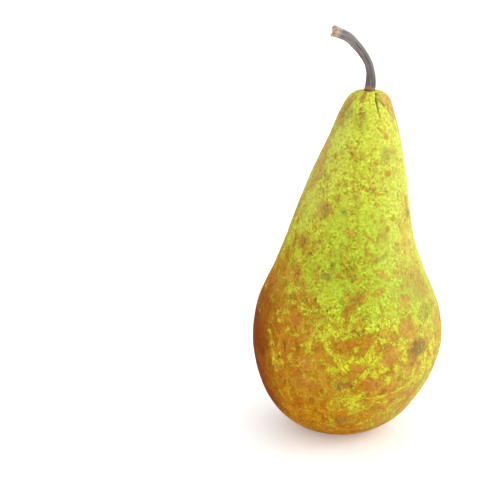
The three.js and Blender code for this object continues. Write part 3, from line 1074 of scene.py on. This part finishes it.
class PEAR_OT_stem(bpy.types.Operator):
    """Builds the curved woody stem, with its ribs, its root and its ragged broken end"""

    bl_idname = "pear.stem"
    bl_label = "Stem"

    def execute(self, context):
        stem = context.scene.pear_stem
        neck_top = context.scene.pear_fruit.neck_top
        route = np.array(STEM_ROUTE_MM) * MM + np.array([0, 0, neck_top])
        centres = evenly(spline(route, CURVE_STEPS), STEM_RINGS)
        length = np.linalg.norm(np.diff(centres, axis=0), axis=1).sum()
        share = np.linspace(0, 1, STEM_RINGS)[:, None]
        table = spline(STEM_THICKNESS_MM, SHORT_CURVE_STEPS)
        radius = np.interp(share, table[:, 0], table[:, 1]) * MM * stem.thickness
        rings = sweep(centres, radius, radius, STEM_SIDES, [0, 1, 0])
        angle = ring_angles(STEM_SIDES)[None, :] + 0 * share

        # Ribs run along the stem, and its end is torn and slanted.
        torn = smoothstep(share * length, length - TORN_LENGTH_MM * MM, length)
        ribs = 0.05 * np.sin(6 * angle + 4 * share) + 0.03 * np.sin(11 * angle - 5 * share)
        knots = 0.07 * bumps(rings, 2.5 * MM, 21) + 0.3 * torn * bumps(rings, 0.9 * MM, 22)
        spokes = (rings - centres[:, None]) * (1 + ribs + knots)[..., None]
        tangent = np.gradient(centres, axis=0)
        tangent /= np.linalg.norm(tangent, axis=1, keepdims=True)
        upper = spokes[..., 2] / radius
        push = torn * (0.2 * upper + 0.6 * bumps(rings, 0.9 * MM, 23)) * MM
        points = centres[:, None] + spokes + push[..., None] * tangent[:, None]

        # The broken face is a hollow of rings that shrink towards the pith.
        rim, pith = points[-1], points[-1].mean(axis=0)
        inner = np.linspace(0.88, 0.1, END_RINGS)[:, None, None]
        face = pith + (rim - pith) * inner
        pits = 0.45 * MM * bumps(face, 0.8 * MM, 24) - 0.35 * MM * (1 - inner[..., 0] ** 2)
        face = face + pits[..., None] * tangent[-1]

        vertices, faces = closed_tube(np.concatenate([points, face]))
        piece = new_piece("pear_stem", vertices, faces, bark_material(stem, length / MM), "stem_bark", "stem")

        # The place in the straightened stem, in millimetres, so that the bark's grain follows the bend.
        along = np.vstack([share * length / MM, np.full((END_RINGS, 1), length / MM)])
        thick = np.vstack([radius, radius[-1] * inner[..., 0]]) / MM
        turn = np.vstack([angle, angle[:END_RINGS]])
        grain = np.stack([thick * np.cos(turn), thick * np.sin(turn), along + 0 * turn], axis=-1)
        ends = [[0, 0, 0], [0, 0, length / MM]]
        write_attribute(piece, "stem_place", np.vstack([grain.reshape(-1, 3), ends]))
        return {"FINISHED"}


def bark_material(stem, length):
    """Thin bark, dried on the stalk: grey, matt and furrowed lengthwise, with bare pale wood at the break, and
    painted light tinting its sides.
    """
    material, tree, shader = new_material("dried_stalk_bark")
    shader.inputs["Roughness"].default_value = 0.8
    put = partial(add, tree)
    spot = put("Attribute", out="Vector", attribute_name="stem_place")
    side, _, along = (put("SeparateXYZ", (spot,), out=axis) for axis in "XYZ")

    # Fibres are drawn out lengthwise. Patches and pits are as long as wide. Each has its size in mm.
    drawn = put("VectorMath", (spot, (1, 1, 0.09)), operation="MULTIPLY")
    fibres, patches, pits = (
        put("TexNoise", {"Vector": vector, "Scale": 1 / size, "Detail": 4.0, "Roughness": 0.6})
        for vector, size in ((drawn, 0.5), (spot, 1.6), (spot, 0.7))
    )
    ragged = put("Math", (patches, 3.0, along), operation="MULTIPLY_ADD")
    pores = put("TexVoronoi", {"Vector": drawn, "Scale": 1 / 0.9})

    # Soft steps of a value, each as the value, where the step starts and ends, and the share at its end.
    pale, furrow, ridge, lenticel, collar, joint, rim, face, pit, outer = (
        put("MapRange", (value, start, end, 0.0, share), interpolation_type="SMOOTHSTEP")
        for value, start, end, share in (
            (ragged, 6.0, length, 1.0),
            (fibres, 0.5, 0.34, 0.85),
            (fibres, 0.52, 0.7, 0.65),
            (pores, 0.16, 0.06, 0.6),
            (ragged, 5.4, 4.2, 0.85),
            (along, 2.4, 1.8, 0.9),
            (ragged, length - 1.6, length + 0.1, 0.9),
            (ragged, length + 0.7, length + 1.5, 0.95),
            (pits, 0.5, 0.38, 0.6),
            # outer: one side of the stem, for the painted light tint below
            (side, 1.4, -1.4, 1.0),
        )
    )
    pit = put("Math", (pit, rim), operation="MULTIPLY")
    colour = layered(
        tree,
        stem.bark,
        (pale, stem.weathered),
        (furrow, stem.furrow),
        (ridge, stem.weathered),
        (lenticel, stem.lenticel),
        (collar, stem.collar),
        (joint, stem.joint),
        (rim, stem.torn_rim),
        (face, stem.broken_end),
        (pit, stem.joint),
    )
    # Painted light: one side of the stem is a little green and grey, as lit, and the other a little pink, as
    # shaded.
    painted_light_tint = layered(tree, srgb("fff6f4"), (outer, srgb("f2fffa")))
    colour = put("VectorMath", (colour, painted_light_tint), operation="MULTIPLY")
    dress(tree, shader, colour, fibres, 0.7, 0.12 * MM)
    return material


# ---- calyx ----

SEPALS = 5
SEPAL_RINGS = 40
SEPAL_SIDES = 32
SEPAL_ROOT_MM = 1.0  # how far from the middle a sepal starts
SEPAL_HEIGHT_MM = 3.5  # how high it starts in the hollow
SEPAL_HALF_THICKNESS_MM = 0.16
STAMEN_SEAT_MM = ((4.6, 1.5), (4.2, 1.55), (3.6, 1.3), (3.2, 0.7))  # height and radius
SEAT_SIDES = 40
STAMEN_RINGS = 24
STAMEN_SIDES = 10


def calyx_middle(scene):
    """The middle of the calyx hollow, on the level the pear stands on."""
    return np.array([-scene.pear_fruit.foot_shift, 0, 0])


class PEAR_OT_sepals(bpy.types.Operator):
    """Builds the five dried sepals that fold out of the calyx hollow, each a piece of its own"""

    bl_idname = "pear.sepals"
    bl_label = "Sepals"

    def execute(self, context):
        calyx = context.scene.pear_calyx
        material = dried_material(calyx, "dried_sepal_leaf")
        share = np.linspace(0, 1, SEPAL_RINGS)
        step = calyx.sepal_length / SEPAL_RINGS
        width = calyx.sepal_width / 2 * (1 + 0.3 * np.sin(np.pi * share)) * (1 - share) ** 0.8 + 0.08 * MM
        for number in range(SEPALS):
            turn = np.radians(360 / SEPALS * number)
            outward = np.array([np.cos(turn), np.sin(turn), 0])
            sideways = np.array([-np.sin(turn), np.cos(turn), 0])
            droop = np.radians(8 + 24 * share + 40 * share**3 + 6 * np.sin(3 * number))
            reach = SEPAL_ROOT_MM * MM + np.cumsum(np.cos(droop)) * step
            bend = 0.5 * MM * np.sin(2.5 * number + 1) * share**2
            route = calyx_middle(context.scene) + reach[:, None] * outward + bend[:, None] * sideways
            route[:, 2] = SEPAL_HEIGHT_MM * MM - np.cumsum(np.sin(droop)) * step
            points = sweep(route, width, SEPAL_HALF_THICKNESS_MM * MM, SEPAL_SIDES, [0, 0, 1])
            crinkle = [bumps(points, 1.3 * MM, 30 + 3 * number + axis) for axis in range(3)]
            points = points + 0.25 * MM * np.stack(crinkle, axis=-1)
            node = f"sepal_{number + 1}"
            new_piece(f"pear_{node}", *closed_tube(points), material, "dried_calyx", node)
        return {"FINISHED"}


class PEAR_OT_stamens(bpy.types.Operator):
    """Builds the tuft of dried stamens in the middle of the calyx hollow"""

    bl_idname = "pear.stamens"
    bl_label = "Stamens"

    def execute(self, context):
        calyx = context.scene.pear_calyx
        middle = calyx_middle(context.scene)
        vertices, faces = [], []

        def join(points):
            """Adds a closed tube to the vertices and faces of the tuft."""
            more_vertices, more_faces = closed_tube(points)
            start = sum(len(v) for v in vertices)
            vertices.append(more_vertices)
            faces.extend([corner + start for corner in face] for face in more_faces)

        heights, radii = np.transpose(STAMEN_SEAT_MM) * MM
        join(sweep(middle + np.outer(heights, [0, 0, 1]), radii, radii, SEAT_SIDES, [0, 1, 0]))
        share = np.linspace(0, 1, STAMEN_RINGS)
        anther = 0.17 * np.exp(-(((share - 0.92) / 0.07) ** 2))
        radius = (0.11 - 0.04 * share + anther) * MM
        for number in range(calyx.stamen_count):
            turn = 2.4 * number
            start = (0.3 + 0.85 * math.sqrt(number / calyx.stamen_count)) * MM
            spread = start * (1.1 + 0.25 * math.sin(5 * number))
            low = (1.5 + 0.5 * math.sin(3.7 * number)) * MM
            radial = np.array([math.cos(turn), math.sin(turn), 0])
            sway = np.array([math.sin(turn), -math.cos(turn), 0]) * 0.3 * MM * math.sin(7 * number)
            knots = [
                middle + radial * start + [0, 0, 3.8 * MM],
                middle + radial * (start + spread) / 2 + sway + [0, 0, (3.4 * MM + low) / 2],
                middle + radial * spread + [0, 0, low],
            ]
            route = evenly(spline(knots, SHORT_CURVE_STEPS), STAMEN_RINGS)
            join(sweep(route, radius, radius, STAMEN_SIDES, radial + [0.01, 0.02, 0]))
        material = dried_material(calyx, "dried_stamen_thread")
        new_piece("pear_stamens", np.vstack(vertices), faces, material, "dried_calyx", "dried_stamens")
        return {"FINISHED"}


def dried_material(calyx, name):
    """Flower parts that dried on the fruit: brown, matt and finely wrinkled."""
    material, tree, shader = new_material(name)
    shader.inputs["Roughness"].default_value = 0.85
    wires = {"Vector": place_in_mm(tree), "Scale": 1 / 0.4, "Detail": 3.0, "Distortion": 0.6}
    wrinkles = add(tree, "TexNoise", wires)
    stops = ((0.3, srgb("46321f")), (0.52, calyx.dried), (0.72, srgb("a58563")))
    colour = add(tree, "ValToRGB", (wrinkles,), stops=stops)
    dress(tree, shader, colour, wrinkles, 0.7, 0.08 * MM)
    return material


# ---- stage ----

FLOOR_SIDES = 96
CAMERA_TARGET_MM = (-33.4, 0, 63.1)
SENSOR_WIDTH_MM = 36
BACKDROP_STRENGTH = 1.25  # the room as the camera sees it
LAMP_PLACE = (0.85, 0.0, 0.5)
LAMP_TARGET = (0, 0, 0.06)
LAMP_SIZE = 0.45
LAMP_POWER = 2.8

# How the room's light changes: a direction, then how far towards it, from -1 to 1, the change starts and
# ends, and the strength at its start and at its end.
ROOM_LIGHT = (
    ((0.7, 0.4, 0.6), (-0.8, 0.95, 0.95, 1.8)),
    ((-0.88, 0.3, -0.36), (0.5, 0.95, 1.0, 0.3)),
)


class PEAR_OT_stage(bpy.types.Operator):
    """Builds the floor, the soft light and the camera"""

    bl_idname = "pear.stage"
    bl_label = "Stage"

    def execute(self, context):
        stage = context.scene.pear_stage
        make_floor(stage)
        make_light()
        make_camera(stage)
        context.scene.view_settings.view_transform = "Standard"
        return {"FINISHED"}


def make_floor(stage):
    """A round pale floor that glows a little, so that it looks as light as the room."""
    angle = np.linspace(0, 2 * np.pi, FLOOR_SIDES, endpoint=False)
    rim = stage.floor_radius * np.stack([np.cos(angle), np.sin(angle), 0 * angle], axis=1)
    mesh = bpy.data.meshes.new("floor")
    mesh.from_pydata(rim, [], [list(range(FLOOR_SIDES))])
    material, _, shader = new_material("white_acrylic_light_table")
    shader.inputs["Base Color"].default_value = tuple(stage.floor_colour)
    shader.inputs["Roughness"].default_value = 0.6
    shader.inputs["Emission Color"].default_value = (1, 1, 1, 1)
    shader.inputs["Emission Strength"].default_value = 0.25
    mesh.materials.append(material)
    floor = bpy.data.objects.new("floor", mesh)
    bpy.context.scene.collection.objects.link(floor)


def make_light():
    """A white room, brighter at the right, behind and above and dim low at the left, and one soft lamp."""
    world = bpy.data.worlds.new("studio")
    bpy.context.scene.world = world
    world.use_nodes = True
    tree = world.node_tree
    tree.nodes.clear()
    towards = add(tree, "TexCoord", out="Generated")
    strength = 1.0
    for direction, change in ROOM_LIGHT:
        ahead = add(tree, "VectorMath", (towards, direction), out="Value", operation="DOT_PRODUCT")
        bright = add(tree, "MapRange", (ahead, *change), interpolation_type="SMOOTHSTEP")
        strength = add(tree, "Math", (strength, bright), operation="MULTIPLY")
    seen = add(tree, "LightPath", out="Is Camera Ray")
    strength = add(tree, "MapRange", (seen, 0.0, 1.0, strength, BACKDROP_STRENGTH))
    background = add(tree, "Background", ((0.8, 0.8, 0.8, 1.0), strength))
    add(tree, "OutputWorld", (background,))

    lamp = bpy.data.lights.new("soft_box", "AREA")
    lamp.shape, lamp.size, lamp.energy = "DISK", LAMP_SIZE, LAMP_POWER
    soft_box = bpy.data.objects.new("soft_box", lamp)
    soft_box.location = LAMP_PLACE
    soft_box.rotation_euler = (Vector(LAMP_TARGET) - soft_box.location).to_track_quat("-Z", "Y").to_euler()
    bpy.context.scene.collection.objects.link(soft_box)


def make_camera(stage):
    """The camera looks at a point beside the pear, so that the pear stands right of the middle."""
    target = Vector(CAMERA_TARGET_MM) * MM
    elevation = stage.camera_elevation
    back = Vector((0, -math.cos(elevation), math.sin(elevation)))
    data = bpy.data.cameras.new("camera")
    data.lens, data.sensor_width = stage.lens, SENSOR_WIDTH_MM
    data.clip_start, data.clip_end = 0.01, 50
    camera = bpy.data.objects.new("camera", data)
    camera.location = target + back * stage.camera_distance
    camera.rotation_euler = (-back).to_track_quat("-Z", "Y").to_euler()
    bpy.context.scene.collection.objects.link(camera)
    bpy.context.scene.camera = camera


# ---- the add-on ----


class PEAR_PT_parts(bpy.types.Panel):
    """Lists what builds the pear's pieces and its stage"""

    bl_idname = "PEAR_PT_parts"
    bl_label = "Pear"
    bl_space_type = "VIEW_3D"
    bl_region_type = "UI"
    bl_category = "Pear"

    def draw(self, context):
        for operator in OPERATORS:
            self.layout.operator(operator.bl_idname)


OPERATORS = (PEAR_OT_fruit, PEAR_OT_stem, PEAR_OT_sepals, PEAR_OT_stamens, PEAR_OT_stage)
SETTINGS = {
    "pear_fruit": PearFruitSettings,
    "pear_stem": PearStemSettings,
    "pear_calyx": PearCalyxSettings,
    "pear_stage": PearStageSettings,
}


def register():
    """Registers the classes and gives the scene its settings."""
    for cls in (*SETTINGS.values(), *OPERATORS, PEAR_PT_parts):
        bpy.utils.register_class(cls)
    for name, cls in SETTINGS.items():
        setattr(bpy.types.Scene, name, bpy.props.PointerProperty(type=cls))


def unregister():
    """Takes away what register added."""
    for name in SETTINGS:
        delattr(bpy.types.Scene, name)
    for cls in (PEAR_PT_parts, *reversed(OPERATORS), *reversed(SETTINGS.values())):
        bpy.utils.unregister_class(cls)


def main():
    """Builds every piece and the stage."""
    register()
    bpy.ops.pear.fruit()
    bpy.ops.pear.stem()
    bpy.ops.pear.sepals()
    bpy.ops.pear.stamens()
    bpy.ops.pear.stage()


if __name__ == "__main__":
    main()
